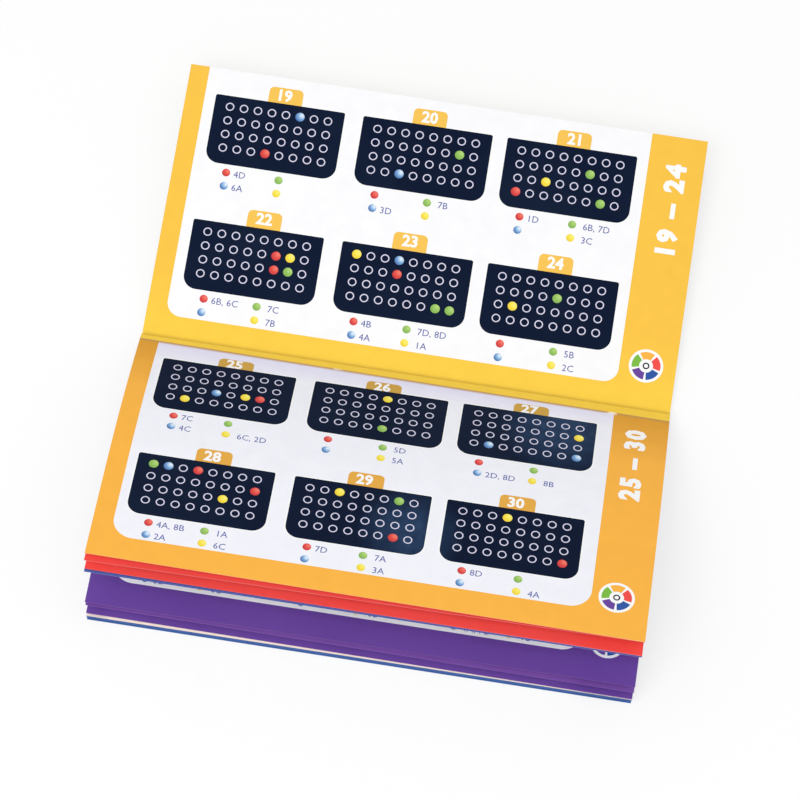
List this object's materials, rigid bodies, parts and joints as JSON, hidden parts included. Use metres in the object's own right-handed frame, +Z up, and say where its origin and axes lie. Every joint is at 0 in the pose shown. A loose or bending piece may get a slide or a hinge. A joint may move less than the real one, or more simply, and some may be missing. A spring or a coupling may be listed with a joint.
{
  "type": "puzzle challenge booklet",
  "caption": "Landscape saddle-stitched puzzle booklet lying open, with a fan of coloured leaves that turn about its stapled spine.",
  "frame": {"origin": "middle of the spine, on the table under the open booklet", "axes": "+X along the spine, -Y towards the reader, +Z up from the table"},
  "size_m": [0.132, 0.1464, 0.0309],
  "materials": {
    "cover_print": "coated card, satin",
    "staple_wire": "bright zinc wire",
    "paper_white": "coated, satin",
    "paper_green": "coated, satin",
    "paper_orange": "coated, satin",
    "paper_red": "coated, satin",
    "paper_blue": "coated, satin",
    "paper_purple": "coated, satin"
  },
  "bodies": {
    "spine": {"cover_back": "cover_print", "cover_fold": "cover_print", "sheet_1_fold": "paper_white", "sheet_2_fold": "paper_green", "sheet_3_fold": "paper_orange", "sheet_4_fold": "paper_orange", "sheet_5_fold": "paper_red", "sheet_6_fold": "paper_red", "sheet_7_fold": "paper_blue", "staple_left": "staple_wire", "staple_right": "staple_wire"},
    "cover_front": {"cover_front": "cover_print"},
    "leaf_01": {"leaf_01": "paper_white"},
    "leaf_02": {"leaf_02": "paper_green"},
    "leaf_03": {"leaf_03": "paper_orange"},
    "leaf_04": {"leaf_04": "paper_orange"},
    "leaf_05": {"leaf_05": "paper_red"},
    "leaf_06": {"leaf_06": "paper_red"},
    "leaf_07": {"leaf_07": "paper_blue"},
    "leaf_08": {"leaf_08": "paper_blue"},
    "leaf_09": {"leaf_09": "paper_purple"},
    "leaf_10": {"leaf_10": "paper_purple"},
    "leaf_11": {"leaf_11": "paper_purple"},
    "leaf_12": {"leaf_12": "paper_white"},
    "leaf_13": {"leaf_13": "paper_white"},
    "leaf_14": {"leaf_14": "paper_white"}
  },
  "joints": [
    {"name": "cover_front_turn", "type": "hinge", "parent": "spine", "child": "cover_front", "pos_m": [0, 0, 0.00243], "axis": [-1, 0, 0], "range_deg": [-171, 0]},
    {"name": "leaf_01_turn", "type": "hinge", "parent": "spine", "child": "leaf_01", "pos_m": [0, 0, 0.00243], "axis": [-1, 0, 0], "range_deg": [-169.07, 0]},
    {"name": "leaf_02_turn", "type": "hinge", "parent": "spine", "child": "leaf_02", "pos_m": [0, 0, 0.00243], "axis": [-1, 0, 0], "range_deg": [-166.97, 0]},
    {"name": "leaf_03_turn", "type": "hinge", "parent": "spine", "child": "leaf_03", "pos_m": [0, 0, 0.00243], "axis": [-1, 0, 0], "range_deg": [-164.48, 0]},
    {"name": "leaf_04_turn", "type": "hinge", "parent": "leaf_05", "child": "leaf_04", "pos_m": [0, 0, 0.00243], "axis": [-1, 0, 0], "range_deg": [-1, 142.5]},
    {"name": "leaf_05_turn", "type": "hinge", "parent": "spine", "child": "leaf_05", "pos_m": [0, 0, 0.00243], "axis": [-1, 0, 0], "range_deg": [-21.8, 0]},
    {"name": "leaf_06_turn", "type": "hinge", "parent": "spine", "child": "leaf_06", "pos_m": [0, 0, 0.00243], "axis": [-1, 0, 0], "range_deg": [-18.72, 0]},
    {"name": "leaf_07_turn", "type": "hinge", "parent": "spine", "child": "leaf_07", "pos_m": [0, 0, 0.00243], "axis": [-1, 0, 0], "range_deg": [-18.67, 0]},
    {"name": "leaf_08_turn", "type": "hinge", "parent": "spine", "child": "leaf_08", "pos_m": [0, 0, 0.00243], "axis": [-1, 0, 0], "range_deg": [-18.6, 0]},
    {"name": "leaf_09_turn", "type": "hinge", "parent": "spine", "child": "leaf_09", "pos_m": [0, 0, 0.00243], "axis": [-1, 0, 0], "range_deg": [-7.99, 0]},
    {"name": "leaf_10_turn", "type": "hinge", "parent": "spine", "child": "leaf_10", "pos_m": [0, 0, 0.00243], "axis": [-1, 0, 0], "range_deg": [-6.29, 0]},
    {"name": "leaf_11_turn", "type": "hinge", "parent": "spine", "child": "leaf_11", "pos_m": [0, 0, 0.00243], "axis": [-1, 0, 0], "range_deg": [-2.79, 0]},
    {"name": "leaf_12_turn", "type": "hinge", "parent": "spine", "child": "leaf_12", "pos_m": [0, 0, 0.00243], "axis": [-1, 0, 0], "range_deg": [-1.7, 0]},
    {"name": "leaf_13_turn", "type": "hinge", "parent": "spine", "child": "leaf_13", "pos_m": [0, 0, 0.00243], "axis": [-1, 0, 0], "range_deg": [-1.35, 0]},
    {"name": "leaf_14_turn", "type": "hinge", "parent": "spine", "child": "leaf_14", "pos_m": [0, 0, 0.00243], "axis": [-1, 0, 0], "range_deg": [-0.98, 0]}
  ],
  "couplings": [
    {"joint": "leaf_01_turn", "follows": "cover_front_turn", "ratio": 0.9886},
    {"joint": "leaf_02_turn", "follows": "cover_front_turn", "ratio": 0.97635},
    {"joint": "leaf_03_turn", "follows": "cover_front_turn", "ratio": 0.96176},
    {"joint": "leaf_05_turn", "follows": "cover_front_turn", "ratio": 0.12741},
    {"joint": "leaf_06_turn", "follows": "cover_front_turn", "ratio": 0.1094},
    {"joint": "leaf_07_turn", "follows": "cover_front_turn", "ratio": 0.10911},
    {"joint": "leaf_08_turn", "follows": "cover_front_turn", "ratio": 0.10869},
    {"joint": "leaf_09_turn", "follows": "cover_front_turn", "ratio": 0.04664},
    {"joint": "leaf_10_turn", "follows": "cover_front_turn", "ratio": 0.0367},
    {"joint": "leaf_11_turn", "follows": "cover_front_turn", "ratio": 0.01621},
    {"joint": "leaf_12_turn", "follows": "cover_front_turn", "ratio": 0.00988},
    {"joint": "leaf_13_turn", "follows": "cover_front_turn", "ratio": 0.00778},
    {"joint": "leaf_14_turn", "follows": "cover_front_turn", "ratio": 0.00567}
  ]
}
